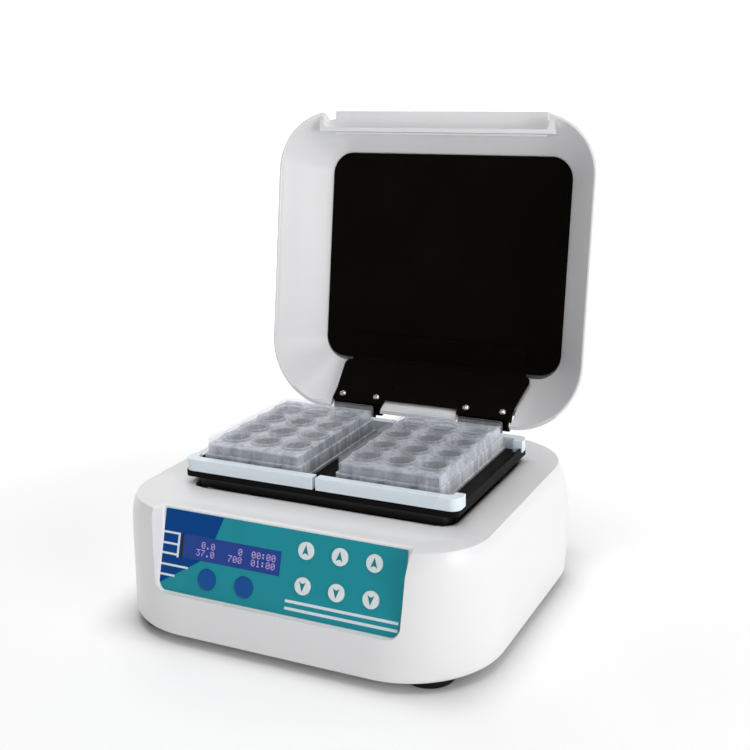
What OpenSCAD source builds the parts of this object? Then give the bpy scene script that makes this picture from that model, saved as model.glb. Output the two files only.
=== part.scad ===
// Two-plate microplate incubator with orbital mixing and a heated, hinged lid.
// Millimetres. X to the right, Y to the back, Z up. The drawing coordinates have
// Y = 0 at the centre of the platform; every sub-part is moved by shift_y so that
// the finished model has its origin under the middle of its bounding box.

/* [Base housing] */
// Half of the greatest width of the housing
body_half_w = 146.5; // [145:0.5:148]
// Height of the crest that the lid closes round
crest_z = 95.5; // [94.5:0.5:96]
// Wall thickness of the moulded shells
wall = 3; // [2.6:0.1:3.2]

/* [Control panel] */
// Tilt of the control panel from the vertical, in degrees
panel_tilt = 16.76; // [16:0.02:17.5]
// Half of the panel's width
panel_half_w = 95; // [94:0.5:96]
// Height of the panel along its slope
panel_h = 58.3; // [57:0.1:59]
// Radius of the arrow keys
key_r = 6.1; // [5.6:0.1:6.4]
// Radius of the two round function keys
fkey_r = 7.3; // [6.8:0.1:7.5]
// Travel of a key
key_travel = 0.5; // [0.3:0.1:0.6]

/* [Lid] */
// Half of the width of the lid's rim
lid_half_w = 141.5; // [141:0.1:142]
// Length of the lid from its rear edge to its front corners
lid_len = 254; // [253:0.5:255]
// Height of the lid above its rim
lid_h = 57; // [56:0.5:58]
// Angle between the closed and the open lid, in degrees
open_angle = 99.05; // [98:0.05:99.5]

/* [Platform] */
// Half of the width of the platform tray
tray_half_w = 110.3; // [110:0.1:111]
// Half of the depth of the platform tray
tray_half_d = 72; // [71.5:0.5:72.5]
// Height of the tray floor above the table
tray_z = 104; // [103.5:0.5:105]
// Radius of the platform's circular path
orbit_r = 1; // [0.8:0.1:1.5]

/* [Microplates] */
// Width of a microplate's foot
plate_w = 85.48; // [85.2:0.01:85.8]
// Length of a microplate's foot
plate_l = 127.76; // [127.5:0.01:128]
// Wells across a microplate
wells_x = 3; // [3:1:3]
// Wells along a microplate
wells_y = 4; // [4:1:4]
// Distance between well centres
well_pitch = 26; // [25.8:0.1:26]
// Inside diameter of a well
well_d = 22.1; // [20:0.1:22.4]

/* [Hidden] */
$fn = 48;
e = 0.01;
shift_y = -27.2;

// hinge axis of the lid
hinge_y = 116.8;
hinge_z = 104.9;
// closed position of the lid's rear edge and rim plane
rim_y = 119;
rim_z = 94.8;
// top edge of the control panel
pan_y = -118.07;
pan_z = 93.2;
// inside of the lid bracket: lower end and angle of the sheet
brk_y = 111.5;
brk_z = 98.3;
brk_a = 132.28;
brk_len = 51;
// deck opening under the platform
open_hx = 106;
open_hy = 74;
pinx = 0;
motx = -orbit_r;
plates_x = [-57.5, 53.4];

WHITE = [0.93, 0.93, 0.92];
BLACK = [0.05, 0.05, 0.05];
STEEL = [0.75, 0.75, 0.76];
RAIL = [0.80, 0.86, 0.90];
CLEAR = [0.80, 0.86, 0.92, 0.6];
TEAL = [0.05, 0.50, 0.55];
NAVY = [0.05, 0.15, 0.45];
ALU = [0.72, 0.73, 0.75];
GREEN = [0.10, 0.35, 0.20];

module place() translate([0, shift_y, 0]) children();

// points of an arc, and of a rectangle with its own corner radii front and rear
function arc(cx, cy, r, a0, a1, n) = [for (i = [0:n]) let(a = a0 + (a1 - a0) * i / n) [cx + r * cos(a), cy + r * sin(a)]];
function rrp(hx, f, b, rf, rb, n = 10) = concat(
  arc(hx - rf, f + rf, rf, -90, 0, n), arc(hx - rb, b - rb, rb, 0, 90, n),
  arc(-hx + rb, b - rb, rb, 90, 180, n), arc(-hx + rf, f + rf, rf, 180, 270, n));
module slab(hx, f, b, rf, rb, z, h, n = 10) translate([0, 0, z]) linear_extrude(height = h) polygon(rrp(hx, f, b, rf, rb, n));
module blk(hx, hy, r, z, h) slab(hx, -hy, hy, r, r, z, h, 6);
module bar(x0, x1, y0, y1, z0, z1) translate([x0, y0, z0]) cube([x1 - x0, y1 - y0, z1 - z0]);
module rod(x, y, r, z0, z1) translate([x, y, z0]) cylinder(r = r, h = z1 - z0);
// a prism along X from an outline in the YZ plane
module yz(x0, x1, pts) translate([x0, 0, 0]) rotate([90, 0, 90]) linear_extrude(height = x1 - x0) polygon(pts);

// ---------------- base housing ----------------
module body_form(i, z0, z1) {
  w = body_half_w - i;
  hull() {
    slab(w - 5.0, -139.5 + i, 110.5 - i, 66 - i, 58 - i, z0, e);
    slab(w - 1.2, -142 + i, 114.5 - i, 69 - i, 60 - i, z0 + 5, e);
    slab(w - 0.5, -140.5 + i, 116 - i, 69 - i, 61 - i, 25, e);
    slab(w, -137 + i, 116 - i, 67 - i, 60 - i, 60, e);
    slab(w - 2.2, -134.2 + i, 116 - i, 60 - i, 59 - i, 78, e);
    slab(w - 5.2, -131 + i, 115.6 - i, 53 - i, 58 - i, min(89, z1 - 2), e);
    slab(w - 8.9 + (z1 < 95 ? 1 : 0), -127.5 + i, 114 - i, 47 - i, 56 - i, z1, e);
  }
}
function pan_pt(v, w) = [pan_y - v * sin(panel_tilt) - w * cos(panel_tilt), pan_z - v * cos(panel_tilt) + w * sin(panel_tilt)];
// the recess that the control panel lies in; off widens it for the wall behind
module recess(off) {
  yz(-98 - off, 98 + off, [pan_pt(-3 - off, -2.5 - off), pan_pt(-2, -2.5 - off) + [6 + off * 0.6, 3.4],
    [-108 + off, crest_z - 0.3 - off * 0.9], [-108 + off, 130], [-170, 130], [-170, 20 - off],
    pan_pt(panel_h + 0.8 + off, 18), pan_pt(panel_h + 0.8 + off, -2.5 - off)]);
}
boss_at = [[-132, -48], [132, -48], [-132, 52], [132, 52], [-62, -128], [62, -128], [-52, 103], [52, 103]];
module housing() place() color(WHITE) difference() {
  union() {
    difference() {
      body_form(0, 6.5, crest_z);
      difference() {
        body_form(wall, 6.4, 90.5);
        recess(wall);
      }
      // shallow dish of the deck
      hull() {
        slab(134.5, -110, 108, 46, 52, crest_z - 0.2, 3);
        slab(112, -80, 80, 14, 14, 93.4, e);
      }
    }
    for (p = boss_at) intersection() {
      union() {
        rod(p[0], p[1], 4.6, 8.5, 26);
        if (abs(p[1]) < 60) bar(min(p[0], sign(p[0]) * 141), max(p[0], sign(p[0]) * 141), p[1] - 1.5, p[1] + 1.5, 8.5, 24);
        else if (p[1] < 0) bar(p[0] - 1.5, p[0] + 1.5, -139.5, p[1], 8.5, 24);
        else bar(p[0] - 1.5, p[0] + 1.5, p[1], 111, 8.5, 22);
      }
      bar(-141, 141, -138, 111, 0, 40);
    }
  }
  // opening for the platform
  slab(open_hx, -open_hy, open_hy, 12, 12, 85, 20);
  recess(0);
  // window behind the panel backing
  pan() bar(-88, 88, -54, -4, -12, 0);
  // seat of the bottom plate, and the screw holes in the bosses
  slab(139.8, -138, 109, 64, 57, 0, 8.5);
  for (p = boss_at) rod(p[0], p[1], 1.5, 8, 20);
  // seats of the hinge posts
  for (s = [-1, 1]) bar(s > 0 ? 42 : -74, s > 0 ? 74 : -42, 97.9, 112.05, 94, 99);
  for (x = [-66, -50, 50, 66]) rod(x, 103, 1.6, 85, 99);
  // rear cut-outs
  bar(-93, -63, 105, 125, 24, 68);
  bar(-41.2, -28.8, 105, 125, 36.6, 55.4);
}

module base_plate() place() color([0.78, 0.79, 0.80]) difference() {
  slab(139.4, -137.6, 108.6, 63.6, 56.6, 6.5, 2);
  for (p = boss_at) rod(p[0], p[1], 1.7, 0, 12);
  for (x = [-1, 1], y = [-109, 80]) rod(x * 105, y, 2.2, 0, 12);
  for (i = [-3:3]) bar(-14 + i * 9 - 2, -14 + i * 9 + 2, -98, -62, 0, 12);
}
foot_at = [[-105, -109], [105, -109], [-105, 80], [105, 80]];
module feet() place() color(BLACK) for (p = foot_at) translate([p[0], p[1], 0]) difference() {
  union() {
    cylinder(r1 = 17.8, r2 = 19.5, h = 2.5);
    translate([0, 0, 2.5]) cylinder(r = 19.5, h = 4);
  }
  translate([0, 0, 2.5]) cylinder(r = 2, h = 10);
}
module foot_screws() place() color(STEEL) for (p = foot_at) {
  rod(p[0], p[1], 2, 2.6, 8.5);
  rod(p[0], p[1], 3.8, 8.5, 11);
}
module base_screws() place() color(STEEL) for (p = boss_at) {
  rod(p[0], p[1], 1.5, 6.5, 18);
  rod(p[0], p[1], 2.8, 4.8, 6.5);
}

// ---------------- control panel ----------------
// local frame of the panel: x along it, y up its slope from the top edge, z out of it
module pan() translate([0, pan_y, pan_z]) rotate([90 - panel_tilt, 0, 0]) children();
ukeys = [[20.7, -12.5], [46.4, -12.5], [72, -12.5]];
dkeys = [[20.7, -36.6], [46.4, -36.6], [72, -36.6]];
fkeys = [[-55.3, -45.4], [-25, -45.4]];
win = [-77.6, 2.0, -33.2, -16.1];
module panel_holes() {
  for (k = concat(ukeys, dkeys)) translate([k[0], k[1], -10]) cylinder(r = key_r + 0.25, h = 20);
  for (k = fkeys) translate([k[0], k[1], -10]) cylinder(r = fkey_r + 0.25, h = 20);
}
module panel_backing() place() pan() color([0.85, 0.85, 0.85]) difference() {
  slab(panel_half_w, -panel_h, 0, 5, 1.5, -2.5, 2, 5);
  panel_holes();
  bar(win[0], win[1], win[2], win[3], -5, 5);
}
module panel_overlay() place() pan() color(TEAL) difference() {
  slab(panel_half_w, -panel_h, 0, 5, 1.5, -0.5, 0.5, 5);
  panel_holes();
  bar(win[0], win[1], win[2], win[3], -5, 5);
}
module display_window() place() pan() color(NAVY) bar(win[0], win[1], win[2], win[3], -2.4, -0.1);
module display_module() place() pan() color([0.15, 0.15, 0.2]) {
  bar(-82, 6, -38, -11, -8.5, -2.5);
  bar(-84, 7.5, -39.5, -9.5, -10.1, -8.5);
}
module keypad_board() place() pan() color(GREEN) {
  translate([0, 0, -10.6]) linear_extrude(height = 1.6) polygon([[9, -4.5], [84, -4.5], [84, -53], [-66, -53], [-66, -41], [9, -41]]);
  for (k = concat(ukeys, dkeys, fkeys)) {
    translate([k[0] - 3, k[1] - 3, -9]) cube([6, 6, 1.8]);
    translate([k[0], k[1], -7.2]) cylinder(r = 1.6, h = 0.6);
  }
}
module panel_standoffs() place() pan() color(STEEL)
  for (p = [[12, -7], [81, -50], [81, -24], [-40.2, -49.4], [33, -24]]) translate([p[0], p[1], -9]) cylinder(r = 2.2, h = 6.5);
module key(p, r, c) place() pan() translate([p[0], p[1], 0]) color(c) {
  translate([0, 0, -2.2]) cylinder(r = r, h = 2.6);
  translate([0, 0, 0.4]) cylinder(r1 = r, r2 = r - 0.7, h = 0.5);
  translate([0, 0, -6]) cylinder(r = 2.4, h = 3.8);
}
module key_temp_up() key(ukeys[0], key_r, WHITE);
module key_speed_up() key(ukeys[1], key_r, WHITE);
module key_time_up() key(ukeys[2], key_r, WHITE);
module key_temp_down() key(dkeys[0], key_r, WHITE);
module key_speed_down() key(dkeys[1], key_r, WHITE);
module key_time_down() key(dkeys[2], key_r, WHITE);
module key_select() key(fkeys[0], fkey_r, NAVY);
module key_run() key(fkeys[1], fkey_r, NAVY);

// ---------------- drive ----------------
post_at = [[-88, -58], [88, -58], [-88, 60], [88, 60]];
idler_at = [[-78, -40], [78, -40], [0, 56]];
mscrew = [for (a = [45, 135, 225, 315]) [motx + 22 * cos(a), 22 * sin(a)]];
module drive_plate() place() color(ALU) difference() {
  slab(98, -68, 70, 8, 8, 44, 3, 6);
  rod(motx, 0, 12, 40, 50);
  for (p = idler_at) rod(p[0] - orbit_r, p[1], 5.5, 40, 50);
  for (p = post_at) rod(p[0], p[1], 2.1, 40, 50);
  for (p = mscrew) rod(p[0], p[1], 1.6, 40, 50);
}
module drive_posts() place() color(STEEL) for (p = post_at) difference() {
  rod(p[0], p[1], 5, 8.5, 44);
  rod(p[0], p[1], 2, 34, 45);
}
module drive_screws() place() color(STEEL) {
  for (p = post_at) { rod(p[0], p[1], 2, 35, 47); rod(p[0], p[1], 3.8, 47, 49.5); }
  for (p = mscrew) { rod(p[0], p[1], 1.5, 38, 47); rod(p[0], p[1], 2.8, 47, 49); }
}
module motor() place() color([0.3, 0.3, 0.32]) difference() {
  union() {
    rod(motx, 0, 30, 18, 44);
    rod(motx, 0, 12, 14, 18);
  }
  rod(motx, 0, 4.2, 16, 50);
  rod(motx, 0, 11, 37, 50);
  for (p = mscrew) rod(p[0], p[1], 1.5, 37.5, 50);
}
module shaft_bearing() place() color(STEEL) difference() {
  rod(motx, 0, 11, 37, 44);
  rod(motx, 0, 4.05, 30, 50);
}
module crank_shaft() place() color(STEEL) {
  rod(motx, 0, 4, 18.5, 60);
  rod(motx, 0, 8, 60, 64);
  rod(pinx, 0, 4, 64, 80);
}
module counterweight() place() color([0.55, 0.45, 0.25]) difference() {
  union() {
    difference() {
      rod(motx, 0, 26, 52, 59.5);
      bar(motx + 2, motx + 40, -40, 40, 50, 62);
    }
    rod(motx, 0, 9, 52, 59.5);
  }
  rod(motx, 0, 4, 50, 62);
}
module idler_bushes() place() color([0.7, 0.55, 0.25]) for (p = idler_at) difference() {
  union() {
    rod(p[0] - orbit_r, p[1], 5.5, 42, 56);
    rod(p[0] - orbit_r, p[1], 7.5, 47, 49);
  }
  rod(p[0] - orbit_r, p[1], 3.05, 30, 60);
}
module idler(p) place() color(STEEL) {
  rod(p[0] - orbit_r, p[1], 3, 42, 58);
  rod(p[0] - orbit_r / 2, p[1], 6, 58, 62);
  rod(p[0], p[1], 3, 62, 86);
}
module idler_crank_left() idler(idler_at[0]);
module idler_crank_right() idler(idler_at[1]);
module idler_crank_rear() idler(idler_at[2]);

// ---------------- platform ----------------
spacer_at = [[-90, -54], [90, -54], [-90, 54], [90, 54]];
module platform_hub() place() color(ALU) difference() {
  rod(pinx, 0, 17, 70, 84);
  rod(pinx, 0, 11, 60, 79);
  rod(pinx, 0, 6, 60, 82);
}
module hub_bearing() place() color(STEEL) difference() {
  rod(pinx, 0, 11, 72, 79);
  rod(pinx, 0, 4.05, 60, 85);
}
module carrier_plate() place() color(ALU) difference() {
  blk(99, 65, 6, 84, 3);
  for (p = idler_at) rod(p[0], p[1], 3.4, 80, 90);
}
module tray_spacers() place() color(STEEL) for (p = spacer_at) rod(p[0], p[1], 4, 87, tray_z - 4.6);
module insulation_pad() place() color([0.12, 0.12, 0.12]) difference() {
  blk(101, 68, 5, tray_z - 13, 6.9);
  for (p = spacer_at) rod(p[0], p[1], 4.2, 80, 110);
  bar(20, 34, -5, 5, tray_z - 8.4, tray_z);
}
module heater_mat() place() color([0.5, 0.2, 0.1]) difference() {
  blk(101, 68, 5, tray_z - 6.1, 1.5);
  for (p = spacer_at) rod(p[0], p[1], 4.2, 80, 110);
}
module temp_sensor() place() color(STEEL) bar(21, 33, -4, 4, tray_z - 8.1, tray_z - 6.1);
module platform_tray() place() color(BLACK) {
  blk(tray_half_w, tray_half_d, 4, tray_z - 4.6, 4.6);
  for (s = [-1, 1]) bar(s > 0 ? tray_half_w - 1.6 : -tray_half_w, s > 0 ? tray_half_w : -tray_half_w + 1.6, -58, 58, tray_z, tray_z + 3.5);
}
// one rail: a bar with a rounded outer corner and a short return along the side
module rail(s) scale([1, 1, 1]) translate([0, 0, tray_z]) linear_extrude(height = 9) polygon(concat(
  [[s * 1.45, -64.4], [s * 1.45, -72]],
  [for (p = arc(103.9, -65, 7, -90, 0, 8)) [s * p[0], p[1]]],
  [[s * 110.9, -58.4], [s * 103.6, -58.4], [s * 103.6, -62.4], [s * 101.6, -64.4]]));
module front_rails() place() color(RAIL) { rail(-1); rail(1); }
module rear_rails() place() color(RAIL) mirror([0, 1, 0]) { rail(-1); rail(1); }

// ---------------- microplates ----------------
well_at = [for (i = [0:wells_x - 1], j = [0:wells_y - 1]) [(i - (wells_x - 1) / 2) * well_pitch, (j - (wells_y - 1) / 2) * well_pitch]];
module microplate(cx) place() translate([cx, 0, tray_z]) color(CLEAR) difference() {
  union() {
    difference() {
      union() {
        blk(plate_w / 2, plate_l / 2, 3.2, 0, 2.5);
        blk(plate_w / 2 - 1.44, plate_l / 2 - 1.44, 2.6, 2.4, 9.2);
        blk(39.5, 60.6, 2.2, 11.5, 6.9);
      }
      blk(plate_w / 2 - 2.8, plate_l / 2 - 2.8, 1.6, -1, 11.2);
      blk(37.9, 59.3, 1.4, 10, 7);
    }
    for (w = well_at) rod(w[0], w[1], well_d / 2 + 1.15, 1.6, 20.2);
  }
  for (w = well_at) rod(w[0], w[1], well_d / 2, 3, 25);
}
module microplate_lid(cx) place() translate([cx, 0, tray_z]) color(CLEAR) difference() {
  blk(41.05, 62.2, 3, 11.6, 10.8);
  blk(39.9, 61.05, 2.2, 11, 10.2);
}
module microplate_left() microplate(plates_x[0]);
module microplate_right() microplate(plates_x[1]);
module microplate_left_lid() microplate_lid(plates_x[0]);
module microplate_right_lid() microplate_lid(plates_x[1]);

// ---------------- electronics and mains entry ----------------
module main_board() place() color(GREEN) {
  bar(48, 128, -44, 44, 20, 21.6);
  bar(56, 68, -30, -14, 21.6, 34);
  bar(84, 104, -10, 10, 21.6, 26);
  bar(108, 122, 16, 38, 21.6, 32);
  rod(76, 30, 6, 21.6, 38);
}
module board_standoffs() place() color(STEEL) for (x = [52, 124], y = [-40, 40]) rod(x, y, 3, 8.5, 20);
module power_supply() place() color(ALU) difference() {
  bar(-124, -50, -50, 48, 8.5, 38);
  for (i = [0:7]) bar(-117 + i * 8, -113 + i * 8, -40, 20, 37, 40);
}
module mains_inlet() place() color(BLACK) {
  difference() {
    union() {
      bar(-95, -61, 116, 118.5, 22, 70);
      bar(-92.8, -63.2, 90, 116, 24.2, 67.8);
    }
    bar(-90.3, -65.7, 102.5, 125, 46, 62.8);
    bar(-88.1, -67.9, 92, 125, 28.9, 39.1);
  }
  bar(-86, -84, 102, 114, 49, 54);
  bar(-72, -70, 102, 114, 49, 54);
  bar(-79, -77, 102, 114, 55.5, 60.5);
}
module fuse_drawer() place() color([0.1, 0.1, 0.1]) difference() {
  union() {
    bar(-88, -68, 93, 119.3, 29, 39);
    bar(-81, -75, 119.2, 120.6, 32.5, 35.5);
  }
  bar(-85.5, -70.5, 95, 115, 31, 40);
}
rock_y = 112.2;
rock_z = 46;
module switch_frame() place() color(BLACK) difference() {
  union() {
    bar(-43, -27, 116, 118, 35, 57);
    bar(-41, -29, 98, 116, 36.8, 55.2);
  }
  bar(-39.9, -30.1, 104, 125, 37.5, 54.5);
  translate([-45, rock_y, rock_z]) rotate([0, 90, 0]) cylinder(r = 1.05, h = 20);
}
module rocker() place() color([0.12, 0.12, 0.12]) translate([-35, rock_y, rock_z]) rotate([-8, 0, 0]) {
  yz(-4.7, 4.7, [[-3, -4], [-3, 4], [2, 7.3], [6.6, 7.3], [5.2, 0], [6.6, -7.3], [2, -7.3]]);
  translate([-5.7, 0, 0]) rotate([0, 90, 0]) cylinder(r = 1, h = 11.4);
}

// ---------------- lid, drawn closed and then swung open ----------------
module lid_open() place() translate([0, hinge_y, hinge_z]) rotate([-open_angle, 0, 0]) translate([0, -hinge_y, -hinge_z]) children();
front_y = rim_y - lid_len;
module lid_form() hull() {
  slab(lid_half_w - 0.8, front_y + 0.8, rim_y - 0.8, 49, 57, rim_z, e);
  slab(lid_half_w, front_y, rim_y, 50, 58, rim_z + 1.2, e);
  slab(lid_half_w - 0.6, front_y + 0.5, rim_y - 0.9, 50, 57, rim_z + 5, e);
  slab(112.6, -106.5, 84.5, 24, 27, rim_z + 46, e);
  slab(106.5, -100.5, 77.5, 19, 20, rim_z + 54, e);
  slab(101, -95, 72, 14, 15, rim_z + lid_h, e);
}
// hollow behind the set-back front edge, and the space over the heated plate
module lid_hollow() {
  hull() {
    slab(lid_half_w - 1.9, front_y + 2.6, rim_y - 2.4, 48, 56, rim_z - 1, e);
    slab(109.7, -103.2, 81, 19, 21, rim_z + 43, e);
  }
  hull() {
    slab(109.7, -103.2, 81, 19, 21, rim_z + 42.9, e);
    slab(109.7, -103.2, 81, 19, 21, rim_z + 45.4, e);
    slab(103, -97.5, 74.5, 16, 16, rim_z + 53.6, e);
  }
}
module lid_shell() lid_open() color(WHITE) difference() {
  union() {
    difference() {
      lid_form();
      lid_hollow();
    }
    // set-back front edge, finger ledge and its two cheeks
    intersection() {
      union() {
        bar(-103, 103, front_y + 13.5, front_y + 16.5, rim_z + 1.4, rim_z + 26);
        bar(-103, 103, front_y, front_y + 16, rim_z + 14, rim_z + 17);
        for (s = [-1, 1]) bar(s > 0 ? 100 : -103, s > 0 ? 103 : -100, front_y + 3, front_y + 16.5, rim_z + 1.4, rim_z + 17);
      }
      lid_form();
    }
    bar(-95, 95, front_y - 1.6, front_y + 14, rim_z + 14, rim_z + 19.5);
  }
  bar(-100, 100, front_y - 10, front_y + 13.5, rim_z - 2, rim_z + 14);
  // rear rim, raised so that it swings over the crest
  bar(-150, 150, 104, 125, rim_z - 2, rim_z + 1.1);
  // clearances for the two hinges
  for (s = [-1, 1]) bar(s > 0 ? 33.8 : -83.2, s > 0 ? 83.2 : -33.8, 92, 130, rim_z - 2, rim_z + 17.5);
}
module lid_plate() lid_open() color(BLACK) slab(109.3, -102.8, 77.8, 18, 18, rim_z + 43, 1.5);
module lid_heater_mat() lid_open() color([0.5, 0.2, 0.1]) slab(94, -88, 62, 6, 6, rim_z + 44.5, 1.2, 5);
module lid_insulation() lid_open() color([0.85, 0.82, 0.7]) slab(98, -92, 66, 8, 8, rim_z + 45.7, 6, 5);

// frame of the bracket sheet: x across, y up the sheet, z out of its visible face
module sheet() lid_open() translate([0, brk_y, brk_z]) rotate([brk_a, 0, 0]) children();
function mir(pts) = concat(pts, [for (i = [len(pts) - 1:-1:0]) [-pts[i][0], pts[i][1]]]);
bscrew_at = [[-73.8, 7.4], [-41.5, 7.4], [41.5, 7.4], [73.8, 7.4]];
module lid_bracket() color(BLACK) {
  sheet() difference() {
    translate([0, 0, -1.2]) linear_extrude(height = 1.2) polygon(mir([[33, 5.8], [34.5, 4.3], [34.5, 0], [80.2, 0], [82, 1.8],
      [82.3, 14], [86.5, 42], [86.2, 45], [84, 47.4], [81, 48], [81, brk_len]]));
    for (p = bscrew_at) translate([p[0], p[1], -5]) cylinder(r = 1.6, h = 10);
    for (s = [-1, 1]) translate([s * 31.2, 20.9, -5]) cylinder(r = 1.1, h = 10);
  }
  lid_open() yz(-80.4, 80.4, [[55, rim_z + 41.8], [55, rim_z + 43], [77.6, rim_z + 43], [79.98, 135.19], [78.72, 134.05], [76.4, rim_z + 41.8]]);
}
module bracket_screws() color(STEEL) sheet() for (p = bscrew_at) translate([p[0], p[1], 0]) {
  translate([0, 0, -3.6]) cylinder(r = 1.5, h = 3.6);
  cylinder(r1 = 2.9, r2 = 2.1, h = 1.5);
}
ax_s = 1.32;
ax_w = -8.36;
module ear(x0, x1) translate([x0, 0, 0]) rotate([90, 0, 90]) linear_extrude(height = x1 - x0) difference() {
  union() {
    translate([ax_s, ax_w]) circle(r = 5.5);
    polygon([[0.6, -1.2], [15, -1.2], [15, -3.7], [ax_s + 4.6, ax_w - 3], [ax_s, ax_w]]);
    polygon([[0.6, -1.2], [ax_s, ax_w], [ax_s - 5.3, ax_w + 1], [-1, -3.7]]);
  }
  translate([ax_s, ax_w]) circle(r = 2);
}
module hinge_leaves() color([0.1, 0.1, 0.1]) sheet() for (s = [-1, 1]) difference() {
  union() {
    bar(s > 0 ? 36 : -80, s > 0 ? 80 : -36, 1, 15, -3.7, -1.2);
    ear(s > 0 ? 36 : -40.5, s > 0 ? 40.5 : -36);
    ear(s > 0 ? 75.5 : -80, s > 0 ? 80 : -75.5);
  }
  for (p = bscrew_at) translate([p[0], p[1], -3.7 - e]) cylinder(r = 1.5, h = 4);
}
module hinge_pins() place() color(STEEL) for (s = [-1, 1]) translate([s > 0 ? 36 : -80, hinge_y, hinge_z]) rotate([0, 90, 0]) cylinder(r = 2, h = 44);
module hinge_posts() place() color([0.1, 0.1, 0.1]) for (s = [-1, 1]) difference() {
  union() {
    yz(s > 0 ? 42 : -74, s > 0 ? 74 : -42, [[98, 94], [112, 94], [112, 95.9], [115.6, 96.4], [120.4, 103], [hinge_y, hinge_z], [114.4, 101.4], [113.2, 97.6], [110.5, 96.9], [98, 96.5]]);
    translate([s > 0 ? 42 : -74, hinge_y, hinge_z]) rotate([0, 90, 0]) cylinder(r = 4.2, h = 32);
  }
  translate([s > 0 ? 40 : -76, hinge_y, hinge_z]) rotate([0, 90, 0]) cylinder(r = 2.05, h = 36);
  for (x = [50, 66]) rod(s * x, 103, 1.6, 90, 99);
}

housing();
base_plate();
feet();
foot_screws();
base_screws();
panel_backing();
panel_overlay();
display_window();
display_module();
keypad_board();
panel_standoffs();
key_temp_up();
key_temp_down();
key_speed_up();
key_speed_down();
key_time_up();
key_time_down();
key_select();
key_run();
drive_plate();
drive_posts();
drive_screws();
motor();
shaft_bearing();
crank_shaft();
counterweight();
idler_bushes();
idler_crank_left();
idler_crank_right();
idler_crank_rear();
platform_hub();
hub_bearing();
carrier_plate();
tray_spacers();
insulation_pad();
heater_mat();
temp_sensor();
platform_tray();
front_rails();
rear_rails();
microplate_left();
microplate_left_lid();
microplate_right();
microplate_right_lid();
main_board();
board_standoffs();
power_supply();
mains_inlet();
fuse_drawer();
switch_frame();
rocker();
lid_shell();
lid_plate();
lid_heater_mat();
lid_insulation();
lid_bracket();
bracket_screws();
hinge_leaves();
hinge_pins();
hinge_posts();
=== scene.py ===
import bpy, bmesh, math
import numpy as np
from mathutils import Vector, Matrix


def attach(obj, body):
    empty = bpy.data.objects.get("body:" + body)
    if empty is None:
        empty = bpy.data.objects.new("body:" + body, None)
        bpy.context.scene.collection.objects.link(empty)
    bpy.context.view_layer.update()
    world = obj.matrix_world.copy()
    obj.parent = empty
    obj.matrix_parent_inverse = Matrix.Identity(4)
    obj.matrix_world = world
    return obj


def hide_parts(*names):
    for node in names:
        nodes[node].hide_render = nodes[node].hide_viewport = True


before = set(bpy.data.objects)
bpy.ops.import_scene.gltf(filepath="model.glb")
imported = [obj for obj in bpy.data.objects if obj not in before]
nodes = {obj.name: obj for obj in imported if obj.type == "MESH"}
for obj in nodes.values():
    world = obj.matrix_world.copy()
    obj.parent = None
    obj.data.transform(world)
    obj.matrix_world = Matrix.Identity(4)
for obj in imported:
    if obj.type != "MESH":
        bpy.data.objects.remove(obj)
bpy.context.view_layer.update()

SH = -27.2                      # the drawing's own y is moved by this


# ------------------------------------------------------------------ helpers
def W(p):
    """millimetres of the drawing to metres of the row frame"""
    a = np.asarray(p, float).reshape(-1, 3) / 1000.0
    a = a + np.array([0.0, SH / 1000.0, 0.0])
    return a


A_OPEN = math.radians(-99.05)
HY, HZ = 116.8, 104.9


def lid_closed_to_open(p):
    a = np.asarray(p, float).reshape(-1, 3)
    dy, dz = a[:, 1] - HY, a[:, 2] - HZ
    c, s = math.cos(A_OPEN), math.sin(A_OPEN)
    return np.stack([a[:, 0], HY + dy * c - dz * s, HZ + dy * s + dz * c], 1)


def lid_local(p):
    """(x, v forward from the rear edge, h above the rim) to drawing, lid open"""
    a = np.asarray(p, float).reshape(-1, 3)
    return lid_closed_to_open(np.stack([a[:, 0], 119.0 - a[:, 1], 94.8 + a[:, 2]], 1))


TILT = math.radians(16.76)
PY, PZ = -118.07, 93.2


def panel_local(p):
    """(x, v down the panel from its top edge, w out of it) to drawing"""
    a = np.asarray(p, float).reshape(-1, 3)
    st, ct = math.sin(TILT), math.cos(TILT)
    return np.stack([a[:, 0], PY - a[:, 1] * st - a[:, 2] * ct, PZ - a[:, 1] * ct + a[:, 2] * st], 1)


def sheet_local(p):
    """(x, s up the bracket sheet, w out of its visible face) to drawing, lid open"""
    a = np.asarray(p, float).reshape(-1, 3)
    b = math.radians(132.28)
    c, s = math.cos(b), math.sin(b)
    y = 111.5 + a[:, 1] * c - a[:, 2] * s
    z = 98.3 + a[:, 1] * s + a[:, 2] * c
    return lid_closed_to_open(np.stack([a[:, 0], y, z], 1))


def sharpen(me, deg=32.0):
    bm = bmesh.new()
    bm.from_mesh(me)
    lim = math.radians(deg)
    for f in bm.faces:
        f.smooth = True
    for e in bm.edges:
        e.smooth = not (len(e.link_faces) == 2 and e.calc_face_angle(0.0) > lim)
    bm.to_mesh(me)
    bm.free()


def mesh(name, verts, faces, tr=None, mat=None, sharp=32.0, weld=False):
    v = np.asarray(verts, float).reshape(-1, 3)
    if tr is not None:
        v = tr(v)
    me = bpy.data.meshes.new(name)
    me.from_pydata(W(v).tolist(), [], [list(f) for f in faces])
    me.validate()
    if weld:
        bm = bmesh.new()
        bm.from_mesh(me)
        bmesh.ops.remove_doubles(bm, verts=bm.verts, dist=1e-6)
        bmesh.ops.recalc_face_normals(bm, faces=bm.faces)
        bm.to_mesh(me)
        bm.free()
    o = bpy.data.objects.new(name, me)
    bpy.context.scene.collection.objects.link(o)
    if sharp:
        sharpen(me, sharp)
    if mat:
        me.materials.append(mat)
    return o


def recalc(o):
    bm = bmesh.new()
    bm.from_mesh(o.data)
    bmesh.ops.recalc_face_normals(bm, faces=bm.faces)
    bm.to_mesh(o.data)
    bm.free()


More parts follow.
